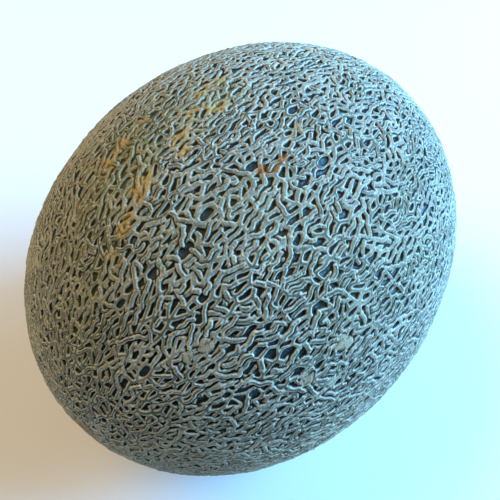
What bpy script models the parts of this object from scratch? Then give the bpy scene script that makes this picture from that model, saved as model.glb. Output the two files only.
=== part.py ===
"""Cantaloupe melon: an oval netted fruit in one piece, lying on a small flat ground spot.

The stem axis runs along X, with the stem end at +X and the blossom end at -X. The origin is at the
middle of the melon's box, on the plane that it rests on. Lengths are in metres.

The net starts as a cage of cells over the whole fruit. Each cell keeps a strand round its rim and
sinks its middle into a pit, so neighbouring strands join into one raised, crowned net.
"""

import math
import random

import bmesh
import bpy
from mathutils import Vector

MM = 0.001

# Overall size of the fruit
LENGTH = 182.0 * MM
WIDTH = 146.0 * MM
HEIGHT = 141.0 * MM
BLOSSOM_END_FULLNESS = 0.025

# Flat spot that the fruit rests on: the radius that the cells beside it keep clear, which leaves a
# flat face about 48 by 29 mm, and how far it cuts into the oval
GROUND_SPOT_RADIUS = 10.5 * MM
GROUND_SPOT_DEPTH = 1.0 * MM

# Cells of the net, drawn larger than life. The unevenness is in cell widths
CELL_COUNT = 428
CELL_STRETCH = 0.30
CELL_UNEVENNESS = 0.28
CELL_ROUNDING = 0.5
CELL_ROUNDING_PASSES = 3
NET_SEED = 1

# Strands and pits. The shares are of the way from a cell's side to its middle
STRAND_SHARE = 0.34
STRAND_CROWN = 0.40 * MM
PIT_WALL_SHARE = 0.12
PIT_DEPTH = 1.2 * MM

# Scars at the two ends
STEM_SCAR_RADIUS = 9.5 * MM
STEM_RIM_WIDTH = 2.2 * MM
STEM_RIM_HEIGHT = 0.5 * MM
STEM_DISH_WALL = 1.8 * MM
STEM_DISH_DEPTH = 2.2 * MM
BLOSSOM_SCAR_RADIUS = 6.5 * MM
BLOSSOM_RIM_WIDTH = 1.6 * MM
BLOSSOM_RIM_DEPTH = 0.7 * MM
BLOSSOM_BUTTON_WALL = 1.0 * MM
BLOSSOM_BUTTON_HEIGHT = 0.4 * MM

# From a cell's middle, how much further its neighbours' middles lie than its own corners
SEED_TO_CORNER = 1.5

SHARP_ANGLE = math.radians(40.0)

# sRGB colour of the netted rind as a whole, between the buff net and the green pits
RIND_COLOUR = (0.553, 0.588, 0.482)
RIND_ROUGHNESS = 0.75

HALF_LENGTH = LENGTH / 2
HALF_WIDTH = WIDTH / 2
HALF_HEIGHT = (HEIGHT + GROUND_SPOT_DEPTH) / 2

STEM_END = Vector((1, 0, 0))
BLOSSOM_END = Vector((-1, 0, 0))
GROUND = Vector((0, 0, -1))


def clear_scene():
    """Removes the objects that a new Blender scene starts with."""
    for thing in list(bpy.data.objects):
        bpy.data.objects.remove(thing, do_unlink=True)


def linear(srgb):
    """Turns an sRGB colour to linear RGBA."""
    channels = [c / 12.92 if c <= 0.04045 else ((c + 0.055) / 1.055) ** 2.4 for c in srgb]
    return (*channels, 1.0)


def rind_material():
    """Corky net over green skin, as one even colour."""
    material = bpy.data.materials.new("netted_rind")
    material.use_nodes = True
    shader = material.node_tree.nodes["Principled BSDF"]
    shader.inputs["Base Color"].default_value = linear(RIND_COLOUR)
    shader.inputs["Roughness"].default_value = RIND_ROUGHNESS
    shader.inputs["Metallic"].default_value = 0.0
    material.diffuse_color = linear(RIND_COLOUR)
    return material


def stretched(angle):
    """Polar angle on the fruit for a polar angle on the seed sphere.

    Cells grow longer along the meridians round the middle and shorter at the ends.
    """
    return angle - CELL_STRETCH * math.sin(2 * angle) / 2


def clearance(radius, scale):
    """Angle that the other seeds keep from a plain cell of this radius on the fruit.

    A corner of the cell is the centre of a triangle with one corner in the cell's middle, so it
    lies two thirds of the way out to the nearest seeds. The scale is metres on the fruit per
    radian on the seed sphere.
    """
    return SEED_TO_CORNER * radius / scale


def plain_cells():
    """Direction of each cell that carries no net, with the angle that it keeps clear round it."""
    end_scale = HALF_WIDTH * (1 - CELL_STRETCH)
    return (
        (STEM_END, clearance(STEM_SCAR_RADIUS, end_scale)),
        (BLOSSOM_END, clearance(BLOSSOM_SCAR_RADIUS, end_scale)),
        (GROUND, clearance(GROUND_SPOT_RADIUS, HALF_WIDTH)),
    )


def seed_directions():
    """Unit vectors spread over a sphere: one for each plain cell, then one for each net cell."""
    draw = random.Random(NET_SEED)
    golden_turn = math.pi * (3 - math.sqrt(5))
    spacing = math.sqrt(4 * math.pi / CELL_COUNT)
    plain = plain_cells()
    seeds = [direction for direction, _ in plain]
    for i in range(CELL_COUNT):
        along = 1 - 2 * (i + 0.5) / CELL_COUNT
        around = golden_turn * i
        across = math.sqrt(1 - along * along)
        seed = Vector((along, across * math.cos(around), across * math.sin(around)))
        nudge = Vector([draw.uniform(-1, 1) for _ in range(3)])
        seed = (seed + nudge * spacing * CELL_UNEVENNESS).normalized()
        if all(seed.angle(direction) > clear for direction, clear in plain):
            seeds.append(seed)
    return seeds


def on_fruit(direction):
    """Point of the smooth oval in a seed direction, with the ground spot's plane at zero."""
    polar = stretched(math.acos(max(-1.0, min(1.0, direction.x))))
    around = math.atan2(direction.z, direction.y)
    fullness = 1 - BLOSSOM_END_FULLNESS * math.cos(polar)
    radial = math.sin(polar) * fullness
    return Vector((
        HALF_LENGTH * math.cos(polar),
        HALF_WIDTH * radial * math.cos(around),
        HALF_HEIGHT * (1 + radial * math.sin(around)) - GROUND_SPOT_DEPTH,
    ))


def cell_cage(bm):
    """Covers the sphere with one cell round each seed: the dual of the seeds' triangulation."""
    seeds = [bm.verts.new(direction) for direction in seed_directions()]
    bmesh.ops.convex_hull(bm, input=bm.verts[:])
    between_seeds = bm.edges[:]
    bmesh.ops.poke(bm, faces=bm.faces[:])
    bmesh.ops.rotate_edges(bm, edges=between_seeds)
    bmesh.ops.dissolve_verts(bm, verts=seeds)
    for _ in range(CELL_ROUNDING_PASSES):
        bmesh.ops.smooth_vert(
            bm, verts=bm.verts[:], factor=CELL_ROUNDING, use_axis_x=True, use_axis_y=True, use_axis_z=True
        )
    for vert in bm.verts:
        vert.co.normalize()


def shape_oval(bm):
    """Moves the cage from the sphere to the fruit's oval."""
    for vert in bm.verts:
        vert.co = on_fruit(vert.co)
    bmesh.ops.recalc_face_normals(bm, faces=bm.faces[:])


def flatten_ground_spot(bm, spot):
    """Lays the ground spot on the resting plane, and lifts to it what would reach below."""
    for vert in spot.verts:
        vert.co.z = 0
    for vert in bm.verts:
        vert.co.z = max(vert.co.z, 0)


def face_towards(bm, direction):
    """The cage's face furthest out in a direction."""
    return max(bm.faces, key=lambda face: face.calc_center_median().dot(direction))


def sink(bm, face, width, depth):
    """Insets a face by a width and moves it inwards by a depth (outwards if negative)."""
    bmesh.ops.inset_individual(bm, faces=[face], thickness=width, depth=-depth, use_even_offset=True)


def raise_net(bm, cells):
    """Gives each cell a crowned strand round its rim and a pit inside it."""
    for cell in cells:
        to_middle = 2 * cell.calc_area() / cell.calc_perimeter()
        sink(bm, cell, STRAND_SHARE * to_middle, STRAND_CROWN)
        sink(bm, cell, PIT_WALL_SHARE * to_middle, PIT_DEPTH)


def shape_stem_scar(bm, face):
    """Leaves a raised rim round the dished scar where the stem came away."""
    sink(bm, face, STEM_RIM_WIDTH, -STEM_RIM_HEIGHT)
    sink(bm, face, STEM_DISH_WALL, STEM_DISH_DEPTH)
    bmesh.ops.poke(bm, faces=[face])


def shape_blossom_scar(bm, face):
    """Leaves a shallow ring round the low corky button of the blossom end."""
    sink(bm, face, BLOSSOM_RIM_WIDTH, BLOSSOM_RIM_DEPTH)
    sink(bm, face, BLOSSOM_BUTTON_WALL, -BLOSSOM_BUTTON_HEIGHT)
    bmesh.ops.poke(bm, faces=[face])


def fit_to_size(bm):
    """Brings the faceted melon to its overall size, centred over the origin and resting on zero."""
    lowest = Vector([min(vert.co[axis] for vert in bm.verts) for axis in range(3)])
    highest = Vector([max(vert.co[axis] for vert in bm.verts) for axis in range(3)])
    middle = (lowest + highest) / 2
    size = highest - lowest
    bmesh.ops.translate(bm, verts=bm.verts[:], vec=(-middle.x, -middle.y, -lowest.z))
    bmesh.ops.scale(bm, verts=bm.verts[:], vec=(LENGTH / size.x, WIDTH / size.y, HEIGHT / size.z))


def melon_mesh():
    """Models the whole fruit as one closed mesh."""
    bm = bmesh.new()
    cell_cage(bm)
    shape_oval(bm)
    stem_end = face_towards(bm, STEM_END)
    blossom_end = face_towards(bm, BLOSSOM_END)
    ground_spot = face_towards(bm, GROUND)
    flatten_ground_spot(bm, ground_spot)
    cells = [face for face in bm.faces if face not in (stem_end, blossom_end, ground_spot)]
    raise_net(bm, cells)
    shape_stem_scar(bm, stem_end)
    shape_blossom_scar(bm, blossom_end)
    bmesh.ops.triangulate(bm, faces=bm.faces[:])
    fit_to_size(bm)
    mesh = bpy.data.meshes.new("melon")
    bm.to_mesh(mesh)
    bm.free()
    mesh.shade_smooth()
    mesh.set_sharp_from_angle(angle=SHARP_ANGLE)
    mesh.materials.append(rind_material())
    return mesh


def main():
    clear_scene()
    collection = bpy.data.collections.new("cantaloupe_melon")
    bpy.context.scene.collection.children.link(collection)
    collection.objects.link(bpy.data.objects.new("melon", melon_mesh()))


main()
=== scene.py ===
"""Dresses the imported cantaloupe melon: a dense corky net over dark green skin, in six joining pieces.

The melon's surface is one height map, laid out by polar angle from the stem end and by angle round
the stem axis. Six grids, spread over the fruit as the sides of a cube, take their relief and their
colour attributes from it. Lengths in the map are in millimetres, and in the meshes in metres.
"""

from __future__ import annotations

import logging
import math
from dataclasses import dataclass, field
from enum import Enum

import bmesh
import bpy
import numpy as np
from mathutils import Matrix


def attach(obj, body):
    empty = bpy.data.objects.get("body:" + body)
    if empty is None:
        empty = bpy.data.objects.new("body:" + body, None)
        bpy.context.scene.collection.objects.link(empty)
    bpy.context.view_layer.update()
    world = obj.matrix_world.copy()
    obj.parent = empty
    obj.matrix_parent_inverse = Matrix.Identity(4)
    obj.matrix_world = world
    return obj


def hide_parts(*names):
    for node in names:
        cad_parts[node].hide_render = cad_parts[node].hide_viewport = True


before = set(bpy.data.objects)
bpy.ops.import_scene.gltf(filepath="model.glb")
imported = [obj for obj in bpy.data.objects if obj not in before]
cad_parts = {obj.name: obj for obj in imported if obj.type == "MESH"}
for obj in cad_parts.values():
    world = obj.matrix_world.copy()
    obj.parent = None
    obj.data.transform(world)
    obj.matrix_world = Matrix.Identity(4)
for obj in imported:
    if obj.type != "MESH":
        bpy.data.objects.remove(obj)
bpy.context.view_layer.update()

MM = 0.001
NODE = "melon"
SLOT = "netted_rind"
BODY = "root"

# The photo's viewing angle, in degrees: from -Y towards +X, and above the floor
VIEW_AZIMUTH = -53.53
VIEW_ELEVATION = 53.28

# Polar angles, in radians, between which the net grows finer towards the blossom end
FINER_FROM = 2.15
FINER_TO = 2.65

# A strand across its width: where its groove is full and where it ends, as shares of the half width
GROOVE_FULL = 0.15
GROOVE_END = 0.55

# Turn between loose strands that spreads them evenly round the fruit, as a share of a whole turn
GOLDEN_SHARE = 0.6180339887

# Colour masks, painted shade in recesses and along the strands' crests among them, that the meshes carry as
# attributes and the rind's material reads
MASKS = ("middle", "tone", "groove", "cavity_shade", "tract", "tan", "yellow", "rust", "ground", "scar")

log = logging.getLogger("melon")


def linear(hex_colour: str) -> tuple[float, float, float, float]:
    """Turns an sRGB colour to linear RGBA.

    Args:
        hex_colour: The colour as "#RRGGBB".

    Returns:
        Red, green, blue and alpha for a Blender socket.
    """
    channels = [int(hex_colour[i:i + 2], 16) / 255 for i in (1, 3, 5)]
    return (*(c / 12.92 if c <= 0.04045 else ((c + 0.055) / 1.055) ** 2.4 for c in channels), 1.0)


def ease(low: float, high: float, value: np.ndarray) -> np.ndarray:
    """Rises smoothly from 0 at low to 1 at high.

    Args:
        low: Value where the rise starts.
        high: Value where the rise ends.
        value: What is eased.

    Returns:
        Shares from 0 to 1.
    """
    share = np.clip((value - low) / (high - low), 0.0, 1.0)
    return share * share * (3.0 - 2.0 * share)


def towards(azimuth: float, elevation: float) -> np.ndarray:
    """Direction from the melon for an azimuth, from -Y towards +X, and an elevation in degrees."""
    turn, rise = math.radians(azimuth), math.radians(elevation)
    return np.array([
        math.sin(turn) * math.cos(rise),
        -math.cos(turn) * math.cos(rise),
        math.sin(rise),
    ])


def angles(directions: np.ndarray) -> tuple[np.ndarray, np.ndarray]:
    """Polar angles from the stem end and angles round the stem axis, for unit vectors."""
    polar = np.arccos(np.clip(directions[:, 0], -1, 1))
    return polar, np.arctan2(directions[:, 2], directions[:, 1])


def strand_profile(share: np.ndarray, groove_depth: float) -> np.ndarray:
    """Height of a strand across its width: round, with a shallow groove along its crest.

    Args:
        share: Distance from the strand's middle, 1 at its edge.
        groove_depth: Depth of the groove.

    Returns:
        Heights, 1 at the top of an ungrooved strand and 0 past its edge.
    """
    tube = np.sqrt(np.clip(1 - np.abs(0.96 * share) ** 2.4, 0, 1))
    return tube - groove_depth * (1 - ease(GROOVE_FULL, GROOVE_END, share))


class Side(Enum):
    """The six pieces of the surface, each with its outward axis and the two axes of its grid."""

    STEM_END = ((1, 0, 0), (0, 1, 0), (0, 0, 1))
    BLOSSOM_END = ((-1, 0, 0), (0, 1, 0), (0, 0, -1))
    LEFT = ((0, 1, 0), (1, 0, 0), (0, 0, -1))
    RIGHT = ((0, -1, 0), (1, 0, 0), (0, 0, 1))
    TOP = ((0, 0, 1), (1, 0, 0), (0, 1, 0))
    UNDERSIDE = ((0, 0, -1), (1, 0, 0), (0, -1, 0))


@dataclass(frozen=True)
class Oval:
    """The smooth oval through the tops of the net's strands, as in the solid, in millimetres."""

    half_length: float = 91.0
    half_width: float = 73.0
    half_height: float = 71.0
    ground_cut: float = 1.0
    blossom_fullness: float = 0.025

    def points(self, polar: np.ndarray, around: np.ndarray) -> np.ndarray:
        """Places points on the oval.

        Args:
            polar: Angles from the stem end.
            around: Angles round the stem axis, from +Y towards +Z.

        Returns:
            Points, with the ground plane at z = 0.
        """
        radial = np.sin(polar) * (1 - self.blossom_fullness * np.cos(polar))
        return np.stack([
            self.half_length * np.cos(polar),
            self.half_width * radial * np.cos(around),
            self.half_height * (1 + radial * np.sin(around)) - self.ground_cut,
        ], axis=-1)

    def outward(self, points: np.ndarray) -> np.ndarray:
        """Unit normals of the oval at points on or near it.

        Args:
            points: Points in millimetres.

        Returns:
            Outward unit vectors.
        """
        centre = np.array([0.0, 0.0, self.half_height - self.ground_cut])
        slope = (points - centre) / np.square([self.half_length, self.half_width, self.half_height])
        return slope / np.linalg.norm(slope, axis=-1, keepdims=True)


@dataclass
class Grain:
    """Smooth random values through space, from a repeating lattice."""

    seed: int
    cells: int = 40
    spread: float = 1.6
    offset: float = 1000.0
    table: np.ndarray = field(init=False)

    def __post_init__(self) -> None:
        """Draws the lattice."""
        shape = (self.cells,) * 3
        self.table = np.random.default_rng(self.seed).uniform(-1, 1, shape).astype(np.float32)

    def at(self, points: np.ndarray, length: float) -> np.ndarray:
        """Values at points.

        Args:
            points: Points in millimetres.
            length: Distance between lattice values, in millimetres.

        Returns:
            Values, mostly between -1 and 1 with a spread of about a half.
        """
        corners, shares = [], []
        for axis in range(3):
            scaled = points[..., axis] / length + self.offset
            corner = np.floor(scaled).astype(np.int32)
            part = (scaled - corner).astype(np.float32)
            part = part * part * (3 - 2 * part)
            corners.append((corner % self.cells, (corner + 1) % self.cells))
            shares.append((1 - part, part))
        total = np.zeros(points.shape[:-1], dtype=np.float32)
        for i in (0, 1):
            for j in (0, 1):
                base = (corners[0][i] * self.cells + corners[1][j]) * self.cells
                side = shares[0][i] * shares[1][j]
                for k in (0, 1):
                    total += side * shares[2][k] * self.table.ravel()[base + corners[2][k]]
        return total * self.spread


@dataclass
class Chart:
    """The map of the whole rind: one value per polar angle and angle round the stem axis."""

    oval: Oval
    rows: int = 1080
    columns: int = 1728
    smallest_radius: float = 0.5
    polar: np.ndarray = field(init=False)
    around: np.ndarray = field(init=False)
    points: np.ndarray = field(init=False)
    along: np.ndarray = field(init=False)
    across: np.ndarray = field(init=False)
    radius: np.ndarray = field(init=False)
    reach: np.ndarray = field(init=False)

    def __post_init__(self) -> None:
        """Works out the map's places, directions and distances."""
        self.polar = np.linspace(0.0, math.pi, self.rows + 1)
        self.around = np.arange(self.columns) * (2 * math.pi / self.columns)
        polar, around = np.meshgrid(self.polar, self.around, indexing="ij")
        self.points = self.oval.points(polar, around)
        ring = np.stack([np.zeros_like(around), -np.sin(around), np.cos(around)], axis=-1)
        outward = self.oval.outward(self.points)
        self.along = np.cross(outward, ring)
        self.along /= np.linalg.norm(self.along, axis=-1, keepdims=True)
        self.across = np.cross(self.along, outward)
        mean_half = (self.oval.half_width + self.oval.half_height) / 2
        self.radius = np.maximum(mean_half * np.sin(self.polar), self.smallest_radius)
        steps_along = np.diff(self.oval.half_length * np.cos(self.polar))
        steps_out = np.diff(mean_half * np.sin(self.polar))
        self.reach = np.concatenate([[0.0], np.cumsum(np.hypot(steps_along, steps_out))])

    def softened(self, values: np.ndarray) -> np.ndarray:
        """Smooths values a little over neighbouring places of the map.

        Args:
            values: A map.

        Returns:
            The smoothed map.
        """
        padded = np.concatenate([values[:1], values, values[-1:]])
        mixed = (padded[:-2] + 2 * padded[1:-1] + padded[2:]) / 4
        return (np.roll(mixed, 1, axis=1) + 2 * mixed + np.roll(mixed, -1, axis=1)) / 4

    def read(self, values: np.ndarray, polar: np.ndarray, around: np.ndarray) -> np.ndarray:
        """Reads a map between its places.

        Args:
            values: A map.
            polar: Angles from the stem end.
            around: Angles round the stem axis.

        Returns:
            The values there.
        """
        row = np.clip(polar / math.pi * self.rows, 0, self.rows - 1e-9)
        column = around / (2 * math.pi) * self.columns
        top = row.astype(np.int64)
        left = np.floor(column).astype(np.int64)
        down = row - top
        right = column - left
        near = left % self.columns
        far = (left + 1) % self.columns
        upper = values[top, near] * (1 - right) + values[top, far] * right
        lower = values[top + 1, near] * (1 - right) + values[top + 1, far] * right
        return upper * (1 - down) + lower * down


@dataclass(frozen=True)
class Change:
    """A layer of smooth random change over the rind. Its length is in millimetres."""

    seed: int
    length: float
    strength: float

    def over(self, chart: Chart) -> np.ndarray:
        """The layer's values over the whole map."""
        return self.strength * Grain(self.seed).at(chart.points, self.length)


@dataclass
class CellNet:
    """The net's main strands: the borders of cells drawn out along the stem axis.

    Lengths are in millimetres and areas in square millimetres. The cells grow round towards both
    ends, from where the polar angle's cosine is round_from. The wander across is read from places
    moved by second_place, so that it differs from the wander along.
    """

    cell_area: float = 11.5
    stretch: float = 2.0
    round_from: float = 0.75
    unevenness: float = 0.60
    unevenness_along: float = 0.9
    half_strand: float = 0.86
    strand_change: float = 0.13
    least_half: float = 0.05
    open_share: float = 0.68
    border_softness: float = 0.08
    groove_depth: float = 0.16
    finer_end: float = 0.24
    wander: float = 0.75
    wander_length: float = 7.0
    tremble: float = 0.28
    tremble_length: float = 2.4
    change_length: float = 6.0
    second_place: float = 31.7
    rows_at_once: int = 50
    far: float = 50.0
    seed: int = 11

    def seeds(self, chart: Chart) -> tuple[np.ndarray, np.ndarray, np.ndarray, float]:
        """Spreads one seed per cell in rings round the stem axis.

        Args:
            chart: The map of the rind.

        Returns:
            Seed points, each ring's first seed and count, and the distance between rings.
        """
        draw = np.random.default_rng(self.seed)
        whole = chart.reach[-1]
        ring_count = round(whole / math.sqrt(self.cell_area * self.stretch))
        spacing = whole / ring_count
        width = math.sqrt(self.cell_area / self.stretch)
        points, first, count = [], [], []
        for ring in range(ring_count):
            middle = (ring + 0.5) * spacing
            radius = np.interp(middle, chart.reach, chart.radius)
            ring_polar = np.interp(middle, chart.reach, chart.polar)
            finer = 1 - self.finer_end * float(ease(FINER_FROM, FINER_TO, ring_polar))
            cells = max(4, round(2 * math.pi * radius / (width * finer)))
            nudge = draw.uniform(-1, 1, cells) * self.unevenness
            place = (np.arange(cells) + 0.5 * (ring % 2) + nudge) / cells
            drop = draw.uniform(-1, 1, cells) * self.unevenness * spacing
            down = middle + drop * self.unevenness_along
            polar = np.interp(down, chart.reach, chart.polar)
            first.append(sum(count))
            count.append(cells)
            points.append(chart.oval.points(polar, place * 2 * math.pi))
        return np.concatenate(points), np.array(first), np.array(count), spacing

    def borders(
        self, chart: Chart, rows: slice, seeds: tuple, wander: tuple
    ) -> tuple[np.ndarray, np.ndarray]:
        """Distance to the nearest cell border, for some rows of the map.

        Args:
            chart: The map of the rind.
            rows: The rows worked on.
            seeds: What seeds() gives.
            wander: How far each place is moved along and across before its cell is looked up.

        Returns:
            Distances in millimetres, and each place's cell.
        """
        points, first, count, spacing = seeds
        shift_along, shift_across = wander[0][rows], wander[1][rows]
        along, across = chart.along[rows], chart.across[rows]
        place = chart.points[rows] + shift_along[..., None] * along + shift_across[..., None] * across
        ring = np.floor((chart.reach[rows][:, None] + shift_along) / spacing).astype(np.int64)
        turn = (chart.around[None, :] + shift_across / chart.radius[rows][:, None]) / (2 * math.pi)
        ends = np.abs(np.cos(chart.polar[rows]))[:, None]
        stretch = 1 + (self.stretch - 1) * (1 - ease(self.round_from, 1.0, ends))
        scale_along, scale_across = stretch ** -0.5, stretch ** 0.5
        near_along, near_across, near_index = [], [], []
        for ring_step in range(-2, 3):
            here = np.clip(ring + ring_step, 0, len(count) - 1)
            cells = count[here]
            base = np.floor((turn % 1.0) * cells).astype(np.int64)
            for step in range(-3, 4):
                index = first[here] + (base + step) % cells
                offset = points[index] - place
                near_along.append((offset * along).sum(-1) * scale_along)
                near_across.append((offset * across).sum(-1) * scale_across)
                near_index.append(index)
        u, v, index = np.stack(near_along), np.stack(near_across), np.stack(near_index)
        square = u * u + v * v
        best = np.argmin(square, axis=0)[None]
        u0, v0 = np.take_along_axis(u, best, 0), np.take_along_axis(v, best, 0)
        own = np.take_along_axis(index, best, 0)
        gap = np.hypot(u - u0, v - v0)
        flat = (square - np.take_along_axis(square, best, 0)) / (2 * np.maximum(gap, 1e-6))
        tilt = np.hypot((u - u0) * scale_along, (v - v0) * scale_across) / np.maximum(gap, 1e-6)
        true = np.where(index == own, self.far, flat / np.maximum(tilt, 1e-6))
        total = np.exp(-np.minimum(true, self.far) / self.border_softness).sum(0)
        return -self.border_softness * np.log(np.maximum(total, 1e-200)), own[0]

    def lay(self, chart: Chart, openness: np.ndarray) -> tuple[np.ndarray, np.ndarray]:
        """Lays the strands on the map.

        Args:
            chart: The map of the rind.
            openness: How open the net is at each place, 1 on the whole.

        Returns:
            Height as a share of a strand's, and the distance from the strands' middles, 1 at their edges.
        """
        slow, fast, swell = Grain(self.seed + 1), Grain(self.seed + 2), Grain(self.seed + 3)
        wander = tuple(
            self.wander * slow.at(chart.points + push, self.wander_length)
            + self.tremble * fast.at(chart.points + push, self.tremble_length)
            for push in (0.0, self.second_place)
        )
        seeds = self.seeds(chart)
        border = np.empty(chart.points.shape[:2])
        cell = np.empty(chart.points.shape[:2], dtype=np.int64)
        for start in range(0, chart.rows + 1, self.rows_at_once):
            rows = slice(start, min(start + self.rows_at_once, chart.rows + 1))
            border[rows], cell[rows] = self.borders(chart, rows, seeds, wander)
        widest = np.zeros(len(seeds[0]))
        np.maximum.at(widest, cell.ravel(), border.ravel())
        change = 2 * self.strand_change * swell.at(chart.points, self.change_length)
        half = self.half_strand * (1 + change) / openness
        half = np.minimum(half, self.open_share * widest[cell])
        share = np.clip(border / np.maximum(half, self.least_half), 0, 3)
        return strand_profile(share, self.groove_depth), share


@dataclass
class LooseStrands:
    """Short worm-like strands that lie over the main ones. Lengths are in millimetres.

    A moat is the low gap beside a strand, coloured with painted shade. It starts and ends at
    distances from the strand's middle that are 1 at its edge, and it fades out towards the strand's
    tips.
    """

    area_each: float = 16.0
    moat: float = 0.75
    moat_start: tuple[float, float] = (0.82, 0.98)
    moat_end: tuple[float, float] = (1.2, 1.6)
    moat_fade: tuple[float, float] = (0.25, 0.45)
    moat_shade: float = 1.25
    crest: float = 0.9
    spread: float = 0.5
    crossing_share: float = 0.22
    crossing_length: float = 0.75
    shortest: float = 3.4
    longest: float = 8.0
    thinnest: float = 1.35
    thickest: float = 2.00
    bend: float = 0.28
    wave: float = 0.24
    groove_depth: float = 0.17
    lowest_lift: float = 0.05
    highest_lift: float = 0.35
    finer_end: float = 0.18
    window: float = 6.0
    end_clear: float = 11.0
    seed: int = 23

    def lay(self, chart: Chart, height: np.ndarray, middle: np.ndarray, tone: np.ndarray) -> None:
        """Lays the strands over the maps, which it changes.

        Args:
            chart: The map of the rind.
            height: Height as a share of a strand's.
            middle: Distance from the strands' middles, 1 at their edges.
            tone: How pale the cork is, from 0 to 1.
        """
        draw = np.random.default_rng(self.seed)
        area = 2 * math.pi * np.trapz(chart.radius, chart.reach)
        number = int(area / self.area_each)
        table = np.cumsum(chart.radius)
        spot = (np.arange(number) + draw.uniform(0, 1, number)) / number
        pick = np.interp(spot, table / table[-1], chart.polar)
        turn = (np.arange(number) * GOLDEN_SHARE + draw.uniform(-0.01, 0.01, number)) % 1.0 * 2 * math.pi
        order = draw.permutation(number)
        row_step = math.pi / chart.rows
        column_step = 2 * math.pi / chart.columns
        for polar, around in zip(pick[order], turn[order]):
            angle = draw.normal() * self.spread
            crossing = draw.random() < self.crossing_share
            angle += (math.pi / 2) * draw.choice([-1, 1]) * draw.uniform(0.5, 1.0) if crossing else 0.0
            finer = 1.0 - self.finer_end * float(ease(FINER_FROM, FINER_TO, polar))
            length = draw.uniform(self.shortest, self.longest) * (self.crossing_length if crossing else 1.0)
            length *= finer
            width = draw.uniform(self.thinnest, self.thickest) * finer
            bend = draw.normal() * self.bend
            lift = draw.uniform(self.lowest_lift, self.highest_lift)
            pale = draw.uniform(0.0, 1.0)
            row = int(round(polar / row_step))
            column = int(round(around / column_step)) % chart.columns
            if min(chart.reach[row], chart.reach[-1] - chart.reach[row]) < self.end_clear:
                continue
            tall = int(self.window / (chart.reach[row + 1] - chart.reach[row]))
            wide = int(self.window / (chart.radius[row] * column_step))
            rows = slice(row - tall, row + tall + 1)
            columns = np.arange(column - wide, column + wide + 1) % chart.columns
            offset = chart.points[rows][:, columns] - chart.points[row, column]
            along, across = chart.along[row, column], chart.across[row, column]
            ahead = math.cos(angle) * along + math.sin(angle) * across
            aside = math.cos(angle) * across - math.sin(angle) * along
            u, v = offset @ ahead, offset @ aside
            v = v - bend * (u * u - length * length / 12) / length
            v = v - self.wave * np.sin(u * draw.uniform(1.0, 1.9) + draw.uniform(0, 2 * math.pi))
            share = np.hypot(np.maximum(np.abs(u) - (length - width) / 2, 0), v) / (width / 2)
            top = (self.crest + lift) * strand_profile(share, self.groove_depth)
            beside = 1 - ease(*self.moat_fade, np.abs(u) / length)
            gap = beside * ease(*self.moat_start, share) * (1 - ease(*self.moat_end, share))
            here = rows, columns
            height[here] = height[here] * (1 - self.moat * gap)
            # Painted shade: the moat's distance is raised so that it takes the dark colour of the gaps
            middle[here] = np.maximum(middle[here], self.moat_shade * gap)
            wins = (top > height[here]) & (share < 1)
            height[here] = np.where(wins, top, height[here])
            middle[here] = np.where(wins, share, middle[here])
            tone[here] = np.where(wins, pale, tone[here])


@dataclass(frozen=True)
class Mark:
    """A mark on the rind: its place in degrees and its half sizes in millimetres."""

    polar: float
    around: float
    along: float
    across: float
    strength: float = 1.0

    def distance(self, chart: Chart) -> np.ndarray:
        """Distance from the mark's middle, 1 at its edge.

        Args:
            chart: The map of the rind.

        Returns:
            Distances over the whole map.
        """
        way = np.interp(math.radians(self.polar), chart.polar, chart.reach)
        down = (chart.reach - way)[:, None] / self.along
        turn = (chart.around - math.radians(self.around) + math.pi) % (2 * math.pi) - math.pi
        side = chart.radius[:, None] * turn[None, :] / self.across
        return np.hypot(down, side)


# Tan cork, yellowish zones and rusty spots, where the photo shows them
TAN_MARKS = (
    Mark(93.0, 77.0, 4.0, 2.2),
    Mark(98.0, 80.5, 3.6, 2.0),
    Mark(95.5, 85.0, 3.0, 2.4),
    Mark(104.0, 82.5, 4.2, 1.8),
    Mark(107.0, 86.0, 3.0, 1.6),
    Mark(117.0, 82.5, 6.0, 3.0),
    Mark(124.5, 84.0, 5.5, 1.8),
    Mark(88.0, 77.5, 4.0, 1.6),
    Mark(131.0, 85.0, 4.5, 1.4, 0.8),
    Mark(112.0, 68.0, 8.0, 2.4, 0.8),
    Mark(104.0, 69.0, 5.0, 1.6, 0.6),
    Mark(90.0, 103.0, 5.0, 1.6, 0.5),
)
YELLOW_MARKS = (
    Mark(110.0, 72.0, 34.0, 14.0, 0.75),
    Mark(95.0, 82.0, 20.0, 9.0, 0.6),
    Mark(135.0, 84.5, 26.0, 5.0, 0.45),
)
RUST_MARKS = (
    Mark(101.9, 104.0, 1.7, 1.2),
    Mark(98.0, 105.4, 2.0, 1.4),
    Mark(100.2, 106.0, 1.6, 1.0),
    Mark(113.4, 146.6, 2.6, 0.6, 0.5),
    Mark(122.3, 149.8, 2.2, 0.6, 0.5),
    Mark(129.0, 148.3, 2.0, 0.6, 0.5),
)
# Zones where the net closes up or opens
CLOSE_MARKS = (
    Mark(106.0, 170.0, 68.0, 20.0, 0.36),
    Mark(146.0, 86.0, 26.0, 26.0, 0.18),
    Mark(151.0, 128.0, 20.0, 24.0, 0.18),
    Mark(68.0, 106.0, 28.0, 22.0, 0.18),
)
OPEN_MARKS = (
    Mark(106.0, 112.0, 24.0, 11.0, 0.10),
    Mark(122.0, 104.0, 16.0, 10.0, 0.08),
)
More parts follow.
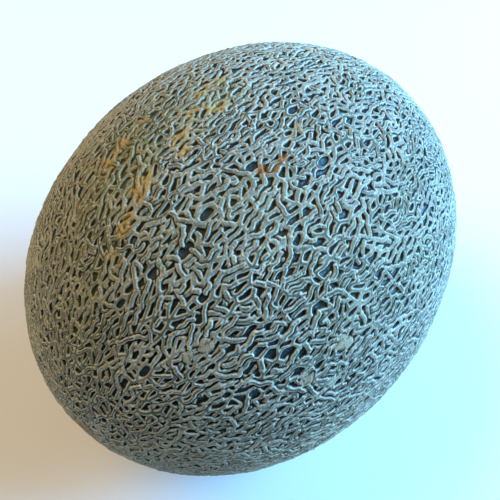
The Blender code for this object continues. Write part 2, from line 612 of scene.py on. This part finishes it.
# Single larger pits with a strand round each: the last three lie on sides that the photo doesn't show
PIT_MARKS = (
    Mark(114.8, 100.6, 2.4, 1.2),
    Mark(137.3, 95.5, 1.6, 1.0),
    Mark(142.1, 45.3, 1.9, 1.2),
    Mark(107.5, 120.1, 2.0, 1.0),
    Mark(92.2, 112.6, 2.1, 1.2),
    Mark(145.4, 116.0, 1.8, 0.9),
    Mark(113.6, 148.8, 1.9, 0.8),
    Mark(122.2, 150.8, 1.7, 0.7),
    Mark(128.9, 149.2, 1.7, 0.7),
    Mark(60.0, 250.0, 2.0, 1.1),
    Mark(95.0, 205.0, 2.2, 1.1),
    Mark(75.0, 20.0, 2.0, 1.1),
)
# Smooth scabs of cork, where the photo shows them
SCAB_MARKS = (
    Mark(132.6, 123.3, 2.6, 2.4),
    Mark(136.8, 122.6, 2.0, 1.9),
    Mark(112.4, 147.4, 3.2, 2.6),
    Mark(121.5, 149.6, 2.6, 2.2),
)


@dataclass
class Rind:
    """The finished map of the melon's surface: relief in millimetres and the colour masks."""

    chart: Chart
    net: CellNet = field(default_factory=CellNet)
    loose: LooseStrands = field(default_factory=LooseStrands)
    strand_height: float = 1.10
    highest: float = 1.40
    lumps: Change = Change(7, 14.0, 0.10)
    knots: Change = Change(6, 1.8, 0.10)
    coarse_edge: Change = Change(8, 2.2, 0.45)
    fine_edge: Change = Change(16, 0.9, 0.25)
    broad_openness: Change = Change(5, 22.0, 0.10)
    near_openness: Change = Change(15, 7.0, 0.12)
    paleness: Change = Change(24, 3.5, 0.5)
    crest_shade_change: Change = Change(22, 8.0, 1.0)
    yellowing: Change = Change(17, 26.0, 1.0)
    patch_end: float = 1.3
    cavity_passes: int = 12
    tract_count: int = 10
    first_tract: float = 84.5
    tract_half_width: float = 2.4
    tract_closing: float = 0.22
    tract_sway: Change = Change(19, 14.0, 1.6)
    tract_tremble: Change = Change(20, 3.0, 0.5)
    tract_fading: Change = Change(21, 18.0, 0.45)
    ground_full: float = 8.0
    ground_end: float = 24.0
    ground_edge: Change = Change(9, 9.0, 3.0)
    scar_level: float = 0.55
    scar_edge: Change = Change(12, 5.0, 0.5)
    scar_grit: Change = Change(13, 1.0, 0.22)
    scar_bumps: Change = Change(14, 2.6, 0.20)
    stem_scar_radius: float = 9.5
    stem_dish_depth: float = 2.0
    stem_rim: float = 2.2
    stem_rim_height: float = 0.45
    stem_rib_height: float = 0.22
    stem_edge: tuple[float, float] = (0.6, 0.8)
    dish_wall: tuple[float, float] = (3.6, 1.4)
    dish_crack: float = 3.0
    dish_crack_width: float = 0.45
    rib_count: int = 13
    rib_sway: Change = Change(27, 4.0, 3.0)
    ring_spacing: float = 2.4
    ring_height: float = 0.16
    blossom_scar_radius: float = 6.5
    blossom_edge: tuple[float, float] = (1.5, 0.3)
    blossom_ring: float = 0.62
    blossom_ring_width: float = 0.9
    blossom_ring_depth: float = 0.55
    button_share: tuple[float, float] = (0.25, 0.6)
    button_height: float = 0.10
    button_rib_height: float = 0.15
    pit_ring: float = 1.25
    pit_strand: float = 0.40
    pit_edge: Change = Change(26, 2.0, 0.30)
    scab_edge: Change = Change(18, 1.8, 0.26)
    scab_height: float = 0.85
    scab_crack: float = 0.12
    relief: np.ndarray = field(init=False)
    masks: dict[str, np.ndarray] = field(init=False)

    def __post_init__(self) -> None:
        """Builds the maps in order: net, loose strands, scars and colour masks."""
        chart = self.chart
        tract = self.tracts()
        ragged = self.coarse_edge.over(chart) + self.fine_edge.over(chart)
        openness = 1.0 - self.tract_closing * tract
        openness = openness + self.broad_openness.over(chart) + self.near_openness.over(chart)
        openness += self.marked(OPEN_MARKS, ragged, core=0.2) - self.marked(CLOSE_MARKS, ragged, core=0.2)
        height, middle = self.net.lay(chart, openness)
        tone = 0.5 + self.paleness.over(chart)
        self.loose.lay(chart, height, middle, tone)
        # Painted shade along the groove on the strands' crests, stronger in some stretches than in others
        groove = 0.35 + 0.65 * ease(-0.6, 0.4, self.crest_shade_change.over(chart))
        self.shape_pits(height, middle)
        tan = self.marked(TAN_MARKS, ragged, core=0.5)
        height = np.maximum(height, (0.50 + 0.55 * ragged) * ease(0.4, 0.9, tan))
        middle -= (middle - np.clip(middle, 0.0, 0.75)) * ease(0.3, 0.9, tan)
        height += self.knots.over(chart)
        relief = self.strand_height * chart.softened(height) + self.lumps.over(chart)
        relief, scar, crack = self.shape_scars(relief)
        relief, middle, scab = self.shape_scabs(relief, middle)
        self.relief = np.minimum(relief, self.highest) - self.highest
        # Painted shade: darker where the net lies lower than its blurred surroundings, as in recesses and
        # narrow slits
        level = chart.softened(height)
        around = level
        for _ in range(self.cavity_passes):
            around = chart.softened(around)
        cavity_shade = ease(-0.06, 0.26, around - level)
        yellow = self.marked(YELLOW_MARKS, ragged, core=0.15)
        yellow = yellow + 0.18 * ease(0.2, 0.9, self.yellowing.over(chart))
        rust = self.marked(RUST_MARKS, ragged, core=0.4)
        above = chart.points[..., 2] + self.ground_edge.over(chart)
        ground = 1 - ease(self.ground_full, self.ground_end, above)
        self.masks = {
            # In the scars' cracks the distance is raised so that they take the gaps' painted shade
            "middle": middle * (1 - scar) + (0.55 + 0.5 * crack) * scar,
            "tone": np.clip(tone, 0, 1),
            "groove": groove,
            "cavity_shade": cavity_shade * (1 - scar),
            "tract": tract * (1 - scar),
            "tan": tan,
            "yellow": yellow,
            "rust": rust,
            "ground": ground,
            "scar": np.maximum(scar * (1 - crack), 0.6 * scab),
        }

    def tracts(self) -> np.ndarray:
        """The paler, closer-netted lines that run from end to end.

        Returns:
            Cover from 0 to 1.
        """
        chart = self.chart
        sway = self.tract_sway.over(chart) + self.tract_tremble.over(chart)
        spacing = 2 * math.pi / self.tract_count
        turn = (chart.around - math.radians(self.first_tract) + spacing / 2) % spacing - spacing / 2
        side = (chart.radius[:, None] * turn[None, :] + sway) / self.tract_half_width
        faint = 0.55 + self.tract_fading.over(chart)
        return np.exp(-np.square(side)) * np.clip(faint, 0.1, 1.0)

    def marked(self, marks: tuple[Mark, ...], ragged: np.ndarray, core: float) -> np.ndarray:
        """Covers the marks' places with ragged edges.

        Args:
            marks: The marks.
            ragged: Noise that breaks the edges up.
            core: Share of a mark's size that it covers fully.

        Returns:
            Cover from 0 to 1.
        """
        cover = np.zeros(self.chart.points.shape[:2])
        for mark in marks:
            patch = 1 - ease(core, self.patch_end, mark.distance(self.chart) + ragged)
            cover = np.maximum(cover, mark.strength * patch)
        return cover

    def shape_pits(self, height: np.ndarray, middle: np.ndarray) -> None:
        """Opens single larger pits, each with a strand round it, in the maps that it is given.

        Args:
            height: Height as a share of a strand's.
            middle: Distance from the strands' middles, 1 at their edges.
        """
        wobble = self.pit_edge.over(self.chart)
        for mark in PIT_MARKS:
            way = mark.distance(self.chart) + wobble
            strand = np.abs(way - self.pit_ring) / self.pit_strand
            height[:] = np.where(strand < 1, np.maximum(height, strand_profile(strand, 0.1)), height)
            middle[:] = np.where(strand < 1, np.minimum(middle, strand), middle)
            inside = way < self.pit_ring - self.pit_strand
            height[:] = np.where(inside, 0.0, height)
            middle[:] = np.where(inside, np.minimum(strand, 3.0), middle)

    def shape_scabs(
        self, relief: np.ndarray, middle: np.ndarray
    ) -> tuple[np.ndarray, np.ndarray, np.ndarray]:
        """Lays low smooth scabs of cork with a thin crack round each.

        Args:
            relief: Relief in millimetres.
            middle: Distance from the strands' middles, 1 at their edges.

        Returns:
            The new relief and distances, and a mask of the scabs.
        """
        wobble = self.scab_edge.over(self.chart)
        scab = np.zeros_like(relief)
        for mark in SCAB_MARKS:
            way = mark.distance(self.chart) + wobble
            inside = 1 - ease(0.75, 1.05, way)
            crack = np.exp(-np.square((way - 1.0) / self.scab_crack))
            dome = self.scab_height + 0.10 * (1 - np.square(np.minimum(way, 1.0))) - 0.5 * crack
            relief = relief * (1 - inside) + inside * dome
            # The crack round each scab takes the gaps' painted shade
            middle = np.maximum(middle * (1 - inside) + 0.55 * inside, 1.15 * crack)
            scab = np.maximum(scab, inside)
        return relief, middle, scab

    def shape_scars(self, relief: np.ndarray) -> tuple[np.ndarray, np.ndarray, np.ndarray]:
        """Presses the dished stem scar and the low blossom scar into the relief.

        Args:
            relief: Relief in millimetres.

        Returns:
            The new relief, a mask of the scars and a mask of the cracks in them, which are
            coloured with painted shade.
        """
        chart = self.chart
        wobble = self.scar_edge.over(chart)
        rough = self.scar_grit.over(chart) + self.scar_bumps.over(chart)
        ribs = np.cos(self.rib_count * chart.around[None, :] + self.rib_sway.over(chart))
        stem_way = chart.reach[:, None] + wobble
        blossom_way = (chart.reach[-1] - chart.reach)[:, None] + wobble
        shaped, stem, stem_crack = self.stem_scar(stem_way, ribs, rough)
        relief = relief * (1 - stem) + stem * shaped
        shaped, blossom, blossom_crack = self.blossom_scar(blossom_way, ribs, rough)
        relief = relief * (1 - blossom) + blossom * shaped
        crack = np.maximum(stem_crack * stem, blossom_crack * blossom)
        return relief, np.maximum(stem, blossom), crack

    def stem_scar(
        self, way: np.ndarray, ribs: np.ndarray, rough: np.ndarray
    ) -> tuple[np.ndarray, np.ndarray, np.ndarray]:
        """The scar that the stem leaves: a ribbed rim round a dish with faint rings.

        Args:
            way: Distance from the stem end.
            ribs: Waves round the stem axis, from -1 to 1.
            rough: Fine unevenness in millimetres.

        Returns:
            Relief of the scar, its mask and the mask of its crack.
        """
        radius = self.stem_scar_radius
        rim = np.exp(-np.square((way - (radius - self.stem_rim / 2)) / (0.55 * self.stem_rim)))
        dish = 1 - ease(radius - self.dish_wall[0], radius - self.dish_wall[1], way)
        cover = 1 - ease(radius - self.stem_edge[0], radius + self.stem_edge[1], way)
        shaped = (self.stem_rim_height + self.stem_rib_height * ribs) * rim
        shaped = shaped - self.stem_dish_depth * dish + rough
        shaped += self.ring_height * np.cos(2 * math.pi * way / self.ring_spacing) * dish
        # A dark line in the dish, coloured with the gaps' painted shade, with no relief of its own
        crack = np.exp(-np.square((way - (radius - self.dish_crack)) / self.dish_crack_width))
        return self.scar_level + shaped, cover, crack

    def blossom_scar(
        self, way: np.ndarray, ribs: np.ndarray, rough: np.ndarray
    ) -> tuple[np.ndarray, np.ndarray, np.ndarray]:
        """The scar that the blossom leaves: a low button in a shallow ring.

        Args:
            way: Distance from the blossom end.
            ribs: Waves round the stem axis, from -1 to 1.
            rough: Fine unevenness in millimetres.

        Returns:
            Relief of the scar, its mask and the mask of its crack.
        """
        radius = self.blossom_scar_radius
        cover = 1 - ease(radius - self.blossom_edge[0], radius + self.blossom_edge[1], way)
        ring = np.exp(-np.square((way - radius * self.blossom_ring) / self.blossom_ring_width))
        button = 1 - ease(radius * self.button_share[0], radius * self.button_share[1], way)
        raised = (self.button_height + self.button_rib_height * ribs) * button
        shaped = self.scar_level - self.blossom_ring_depth * ring + raised + rough
        # The shallow ring also serves as the crack, and takes the gaps' painted shade
        return shaped, cover, 0.8 * ring


def add_object(name: str, data: bpy.types.ID) -> bpy.types.Object:
    """Adds an object for a mesh, camera or light to the scene."""
    thing = bpy.data.objects.new(name, data)
    bpy.context.scene.collection.objects.link(thing)
    return thing


def add_node(
    tree: bpy.types.NodeTree, kind: str, inputs: dict | None = None, **settings: object
) -> bpy.types.Node:
    """Adds a node with its settings and links.

    Args:
        tree: The material's node tree.
        kind: The node's type.
        inputs: For each socket's name or number, a value or the socket that feeds it.
        settings: The node's own settings.

    Returns:
        The node.
    """
    node = tree.nodes.new(kind)
    for name, value in settings.items():
        setattr(node, name, value)
    for name, value in (inputs or {}).items():
        if isinstance(value, bpy.types.NodeSocket):
            tree.links.new(value, node.inputs[name])
        else:
            node.inputs[name].default_value = value
    return node


@dataclass(frozen=True)
class NettedRind:
    """Dry corky net over satin green skin.

    Cork scatters light evenly, so the net looks chalky, with painted shade in the groove along its
    crest, stronger in some stretches than in others. The skin between the strands is darker and
    smoother, and glints where it faces a light.
    Core, rim, gap and pit say where each starts and is full, as a distance from the strands'
    middles that is 1 at their edges. Core places the painted shade in the crest's groove, rim a
    painted highlight on the outer part of each strand's top, gap painted shade at the strands'
    walls and in narrow gaps, and pit the bare skin.
    """

    name: str = SLOT
    cork: str = "#82816A"
    # Pale cork, also used for the painted highlight on the outer part of each strand's top
    pale_cork_and_highlight: str = "#D6D2B8"
    # Colour of the painted shade in the groove along the strands' crests
    groove: str = "#434D3D"
    # Colour of the painted shade in recesses, narrow slits and at the strands' walls
    cavity_shade: str = "#171A11"
    olive: str = "#4E4C22"
    skin: str = "#0D1E20"
    skin_light: str = "#1B4650"
    yellow: str = "#A0995A"
    tan: str = "#CDAB68"
    tan_dark: str = "#78602E"
    dirt: str = "#4B4A38"
    rust: str = "#A8661A"
    rust_dark: str = "#6E4010"
    ground: str = "#C9B878"
    scar: str = "#A8946A"
    scar_dark: str = "#5E4C30"
    cork_roughness: float = 0.86
    skin_roughness: float = 0.34
    gloss: float = 0.35
    fleck_mm: float = 0.6
    mottle_mm: float = 9.0
    grit_mm: float = 0.55
    bump_mm: float = 0.2
    bump_strength: float = 0.8
    core: tuple[float, float] = (0.48, 0.20)
    rim: tuple[float, float] = (0.34, 0.58)
    # Where the painted shade at the strands' walls and in narrow gaps starts and is full
    gap: tuple[float, float] = (0.70, 0.97)
    pit: tuple[float, float] = (1.25, 1.65)

    def build(self) -> bpy.types.Material:
        """Makes the material.

        Returns:
            The material, with its colour, roughness and bump from nodes.
        """
        material = bpy.data.materials.new(self.name)
        material.use_nodes = True
        tree = material.node_tree
        shader = tree.nodes["Principled BSDF"]
        place = add_node(tree, "ShaderNodeTexCoord").outputs["Object"]
        mask = {
            name: add_node(tree, "ShaderNodeAttribute", attribute_name=name).outputs["Fac"]
            for name in MASKS
        }
        core, rim, gap, pit = (
            add_node(tree, "ShaderNodeMapRange", {
                "Value": mask["middle"],
                "From Min": start,
                "From Max": full,
            }, interpolation_type="SMOOTHSTEP").outputs[0]
            for start, full in (self.core, self.rim, self.gap, self.pit)
        )
        fleck = self.grain(tree, place, self.fleck_mm, 4)
        mottle = self.grain(tree, place, self.mottle_mm, 3)
        grit = self.grain(tree, place, self.grit_mm, 2)
        # Where the painted shade in the crest's groove falls, and how strong it is
        crest_shade = add_node(tree, "ShaderNodeMath", {0: core, 1: mask["groove"]}, operation="MULTIPLY")
        tan = self.mix(tree, fleck, self.tan_dark, self.tan)
        # Painted shade colour for recesses and gaps, olive in the yellowish zones
        slit_shade = self.mix(tree, mask["yellow"], self.cavity_shade, self.olive, strength=0.9)
        rust = self.mix(tree, fleck, self.rust, self.rust_dark)
        scar = self.mix(tree, fleck, self.scar_dark, self.scar)
        cork = self.mix(tree, mottle, self.cork, self.pale_cork_and_highlight, strength=0.45)
        for share, layer, strength in (
            (mask["tone"], self.pale_cork_and_highlight, 0.35),
            (mask["tract"], self.pale_cork_and_highlight, 0.6),
            # Painted highlight: the outer part of each strand's top is lightened
            (rim, self.pale_cork_and_highlight, 0.6),
            (mask["yellow"], self.yellow, 0.6),
            # Painted shade in the groove along the strands' crests
            (crest_shade.outputs[0], self.groove, 0.95),
            (fleck, self.dirt, 0.6),
            (mask["tan"], tan, 0.9),
            (mask["ground"], self.ground, 0.7),
            # Painted shade in recesses, at the strands' walls and in the gaps between them
            (mask["cavity_shade"], slit_shade, 1.0),
            (gap, slit_shade, 1.0),
            (mask["rust"], rust, 0.95),
            (mask["scar"], scar, 0.9),
        ):
            cork = self.mix(tree, share, cork, layer, strength)
        skin = self.mix(tree, mottle, self.skin, self.skin_light, strength=0.8)
        skin = self.mix(tree, mask["yellow"], skin, self.olive, strength=0.7)
        skin = self.mix(tree, mask["ground"], skin, self.ground, strength=0.6)
        colour = self.mix(tree, pit, cork, skin)
        tree.links.new(colour, shader.inputs["Base Color"])
        roughness = add_node(tree, "ShaderNodeMapRange", {
            "Value": pit,
            "To Min": self.cork_roughness,
            "To Max": self.skin_roughness,
        })
        tree.links.new(roughness.outputs[0], shader.inputs["Roughness"])
        shader.inputs["Specular IOR Level"].default_value = self.gloss
        bump = add_node(tree, "ShaderNodeBump", {
            "Strength": self.bump_strength,
            "Distance": self.bump_mm * MM,
            "Height": grit,
        })
        tree.links.new(bump.outputs["Normal"], shader.inputs["Normal"])
        return material

    @staticmethod
    def grain(
        tree: bpy.types.NodeTree, place: bpy.types.NodeSocket, size_mm: float, detail: float
    ) -> bpy.types.NodeSocket:
        """Noise with grains of a real size, spread over 0 to 1.

        Args:
            tree: The material's node tree.
            place: Object coordinates.
            size_mm: Size of a grain in millimetres.
            detail: Number of finer layers.

        Returns:
            The noise's socket.
        """
        noise = add_node(tree, "ShaderNodeTexNoise", {
            "Vector": place,
            "Scale": 1.0 / (size_mm * MM),
            "Detail": detail,
            "Roughness": 0.6,
        })
        spread = add_node(tree, "ShaderNodeMapRange", {
            "Value": noise.outputs["Fac"],
            "From Min": 0.3,
            "From Max": 0.7,
        })
        return spread.outputs[0]

    @staticmethod
    def mix(
        tree: bpy.types.NodeTree,
        share: bpy.types.NodeSocket,
        low: bpy.types.NodeSocket | str,
        high: bpy.types.NodeSocket | str,
        strength: float = 1.0,
    ) -> bpy.types.NodeSocket:
        """Blends two colours by a mask.

        Args:
            tree: The material's node tree.
            share: The mask.
            low: Socket or sRGB colour where the mask is 0.
            high: Socket or sRGB colour where the mask is 1.
            strength: How much of the second colour a full mask gives.

        Returns:
            The blended colour's socket.
        """
        low, high = (linear(colour) if isinstance(colour, str) else colour for colour in (low, high))
        inputs = {0: share, 1: strength}
        scaled = add_node(tree, "ShaderNodeMath", inputs, operation="MULTIPLY", use_clamp=True)
        node = add_node(tree, "ShaderNodeMix", {0: scaled.outputs[0], 6: low, 7: high}, data_type="RGBA")
        return node.outputs[2]


@dataclass
class Melon:
    """The melon's surface in six grids that join along their edges."""

    oval: Oval = field(default_factory=Oval)
    segments_along: int = 316
    segments_round: int = 270
    gather: float = 0.22
    normal_step: float = 0.003

    def build(self) -> list[bpy.types.Object]:
        """Builds and dresses every piece.

        Returns:
            The pieces.
        """
        rind = Rind(Chart(self.oval))
        finish = NettedRind().build()
        pieces = []
        for side in Side:
            piece = self.build_side(side, rind, finish)
            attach(piece, BODY)
            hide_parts(NODE)
            pieces.append(piece)
            log.info("%s: %d faces", piece.name, len(piece.data.polygons))
        return pieces

    def directions(self, side: Side, grid: np.ndarray, segments: tuple[int, int]) -> np.ndarray:
        """Turns a grid's places to directions from the melon's middle.

        The places are rounded to whole steps, so that neighbouring pieces get the very same
        directions along the edge that they share.

        Args:
            side: Which piece.
            grid: The grid's own coordinates, from -1 to 1.
            segments: The grid's steps along its two axes.

        Returns:
            Unit vectors.
        """
        steps = np.array(segments)
        whole = np.rint((grid + 1) / 2 * steps)
        spread = np.tan((2 * whole - steps) / steps * (math.pi / 4)) / math.tan(math.pi / 4)
        out, first, second = (np.array(axis, dtype=float) for axis in side.value)
        directions = self.unit(out + spread[:, :1] * first + spread[:, 1:] * second)
        return self.unit(directions + self.gather * towards(VIEW_AZIMUTH, VIEW_ELEVATION))

    @staticmethod
    def unit(vectors: np.ndarray) -> np.ndarray:
        """Vectors brought to length 1, each by the same steps whatever piece it is in."""
        length = np.sqrt(vectors[:, 0] ** 2 + vectors[:, 1] ** 2 + vectors[:, 2] ** 2)
        return vectors / length[:, None]

    def surface(self, directions: np.ndarray, rind: Rind) -> np.ndarray:
        """Points of the rind in given directions.

        Args:
            directions: Unit vectors.
            rind: The map of the rind.

        Returns:
            Points in millimetres, flat on the ground plane where they would reach below it.
        """
        polar, around = angles(directions)
        points = self.oval.points(polar, around)
        relief = rind.chart.read(rind.relief, polar, around)
        points = points + self.oval.outward(points) * relief[:, None]
        points[:, 2] = np.maximum(points[:, 2], 0.0)
        return points

    def normals(self, directions: np.ndarray, rind: Rind) -> np.ndarray:
        """Normals of the rind, which depend on the direction alone.

        Args:
            directions: Unit vectors.
            rind: The map of the rind.

        Returns:
            Outward unit normals.
        """
        helper = np.where(np.abs(directions[:, 2:]) < 0.8, [[0.0, 0.0, 1.0]], [[0.0, 1.0, 0.0]])
        first = np.cross(helper, directions)
        first /= np.linalg.norm(first, axis=1, keepdims=True)
        second = np.cross(directions, first)
        slopes = []
        for tangent in (first, second):
            ends = []
            for sign in (1, -1):
                moved = directions + sign * self.normal_step * tangent
                ends.append(self.surface(moved / np.linalg.norm(moved, axis=1, keepdims=True), rind))
            slopes.append(ends[0] - ends[1])
        normals = np.cross(slopes[0], slopes[1])
        return normals / np.linalg.norm(normals, axis=1, keepdims=True)

    def build_side(self, side: Side, rind: Rind, finish: bpy.types.Material) -> bpy.types.Object:
        """Builds one piece.

        Args:
            side: Which piece.
            rind: The map of the rind.
            finish: The rind's material.

        Returns:
            The piece.
        """
        at_end = side in (Side.STEM_END, Side.BLOSSOM_END)
        segments = (self.segments_round if at_end else self.segments_along, self.segments_round)
        bm = bmesh.new()
        bm.loops.layers.uv.new("OFBake")
        bmesh.ops.create_grid(bm, x_segments=segments[0], y_segments=segments[1], size=1.0, calc_uvs=True)
        name = f"melon_{side.name.lower()}"
        mesh = bpy.data.meshes.new(name)
        bm.to_mesh(mesh)
        bm.free()
        count = len(mesh.vertices)
        grid = np.empty(count * 3, dtype=np.float32)
        mesh.vertices.foreach_get("co", grid)
        directions = self.directions(side, grid.reshape(-1, 3)[:, :2].astype(float), segments)
        points = self.surface(directions, rind)
        mesh.vertices.foreach_set("co", (points * MM).astype(np.float32).ravel())
        polar, around = angles(directions)
        for mask in MASKS:
            attribute = mesh.attributes.new(mask, "FLOAT", "POINT")
            values = rind.chart.read(rind.masks[mask], polar, around)
            attribute.data.foreach_set("value", values.astype(np.float32))
        mesh.update()
        mesh.shade_smooth()
        mesh.normals_split_custom_set_from_vertices(self.normals(directions, rind).astype(np.float32))
        mesh.materials.append(finish)
        return add_object(name, mesh)


@dataclass(frozen=True)
class SoftLight:
    """A soft light: azimuth from -Y towards +X and elevation in degrees, power in watts, sRGB colour."""

    name: str
    azimuth: float
    elevation: float
    power: float
    colour: str


@dataclass
class Studio:
    """Plain pale floor, soft lights and the camera at the photo's angle. Lengths are in metres."""

    distance: float = 0.23638
    middle_height: float = 0.070
    aim_right: float = -0.00088
    aim_up: float = -0.00191
    lens: float = 43.78
    sensor: float = 36.0
    floor_size: float = 12.0
    floor_colour: str = "#D8D6D0"
    floor_roughness: float = 0.9
    light_distance: float = 1.2
    light_size: float = 0.8
    lights: tuple[SoftLight, ...] = (
        SoftLight("window_light", 45.0, 25.0, 66.0, "#88C4FF"),
        SoftLight("window_edge", 62.0, 20.0, 20.0, "#5CB4FF"),
        SoftLight("warm_fill", 194.0, 52.0, 12.0, "#FFE0B2"),
    )
    surround_colour: str = "#DCE6EA"
    surround_strength: float = 0.30

    @staticmethod
    def place(
        thing: bpy.types.Object, azimuth: float, elevation: float, distance: float, aim: np.ndarray
    ) -> None:
        """Puts a camera or light at a distance from a point and turns it to face that point.

        Args:
            thing: The camera or light.
            azimuth: Degrees from -Y towards +X.
            elevation: Degrees above the floor.
            distance: Metres from the point.
            aim: The point.
        """
        thing.location = aim + towards(azimuth, elevation) * distance
        thing.rotation_euler = (math.pi / 2 - math.radians(elevation), 0.0, math.radians(azimuth))

    def add_camera(self) -> None:
        """Adds the camera at the photo's viewing angle."""
        data = bpy.data.cameras.new("camera")
        data.lens = self.lens
        data.sensor_width = self.sensor
        camera = add_object("camera", data)
        turn = math.radians(VIEW_AZIMUTH)
        right = np.array([math.cos(turn), math.sin(turn), 0.0])
        up = np.cross(towards(VIEW_AZIMUTH, VIEW_ELEVATION), right)
        aim = np.array([0.0, 0.0, self.middle_height]) + self.aim_right * right + self.aim_up * up
        self.place(camera, VIEW_AZIMUTH, VIEW_ELEVATION, self.distance, aim)
        bpy.context.scene.camera = camera

    def add_light(self, soft: SoftLight) -> None:
        """Adds a soft square light.

        Args:
            soft: The light's name, place, power and colour.
        """
        data = bpy.data.lights.new(soft.name, "AREA")
        data.size = self.light_size
        data.energy = soft.power
        data.color = linear(soft.colour)[:3]
        aim = np.array([0.0, 0.0, self.middle_height])
        self.place(add_object(soft.name, data), soft.azimuth, soft.elevation, self.light_distance, aim)

    def add_floor(self) -> None:
        """Matte paper scatters light evenly and shows no glint, so the floor stays plain.
        """
        bm = bmesh.new()
        bmesh.ops.create_grid(bm, x_segments=1, y_segments=1, size=self.floor_size / 2)
        mesh = bpy.data.meshes.new("floor")
        bm.to_mesh(mesh)
        bm.free()
        material = bpy.data.materials.new("matte_paper")
        material.use_nodes = True
        shader = material.node_tree.nodes["Principled BSDF"]
        shader.inputs["Base Color"].default_value = linear(self.floor_colour)
        shader.inputs["Roughness"].default_value = self.floor_roughness
        mesh.materials.append(material)
        add_object("floor", mesh)

    def build(self) -> None:
        """Adds the camera, floor and lights."""
        self.add_camera()
        self.add_floor()
        for soft in self.lights:
            self.add_light(soft)
        world = bpy.data.worlds.new("studio")
        world.use_nodes = True
        background = world.node_tree.nodes["Background"]
        background.inputs["Color"].default_value = linear(self.surround_colour)
        background.inputs["Strength"].default_value = self.surround_strength
        bpy.context.scene.world = world
        bpy.context.scene.view_settings.view_transform = "Standard"


def main() -> None:
    """Builds the studio and the melon."""
    logging.basicConfig(level=logging.INFO, format="%(name)s: %(message)s")
    Studio().build()
    Melon().build()


if __name__ == "__main__":
    main()
